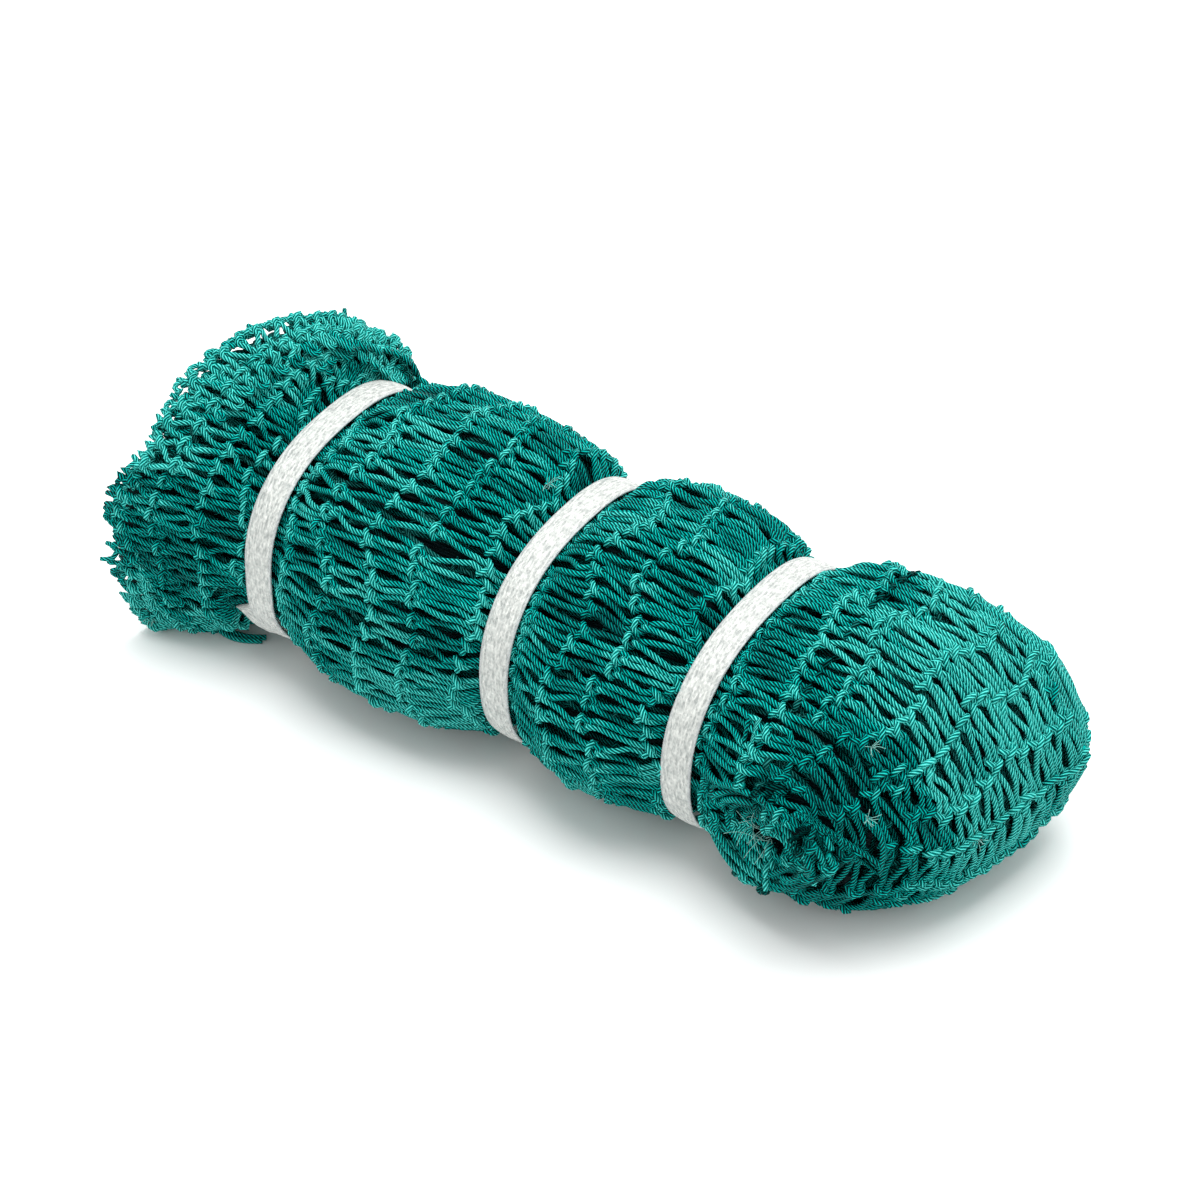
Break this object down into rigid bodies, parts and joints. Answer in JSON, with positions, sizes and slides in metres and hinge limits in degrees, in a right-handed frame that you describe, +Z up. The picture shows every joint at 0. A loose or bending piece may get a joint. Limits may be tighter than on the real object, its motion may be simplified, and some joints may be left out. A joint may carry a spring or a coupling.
{
  "type": "bundled fishing net",
  "caption": "Length of green knotted net, bunched lengthwise, folded over at one end and pinched into a bundle by white flat tapes",
  "frame": {"origin": "On the floor under the middle of the bundle's box", "axes": "+X along the bundle towards the folded end, +Z up, +Y across to the far side"},
  "size_m": [0.3536, 0.1294, 0.109],
  "materials": {
    "net_twine": "twisted polyethylene twine, slightly glossy",
    "tie_tape": "woven flat polyester tape, matt"
  },
  "bodies": {
    "root": {"net_bundle": "net_twine", "tape_1": "tie_tape", "tape_2": "tie_tape", "tape_3": "tie_tape"}
  },
  "joints": []
}
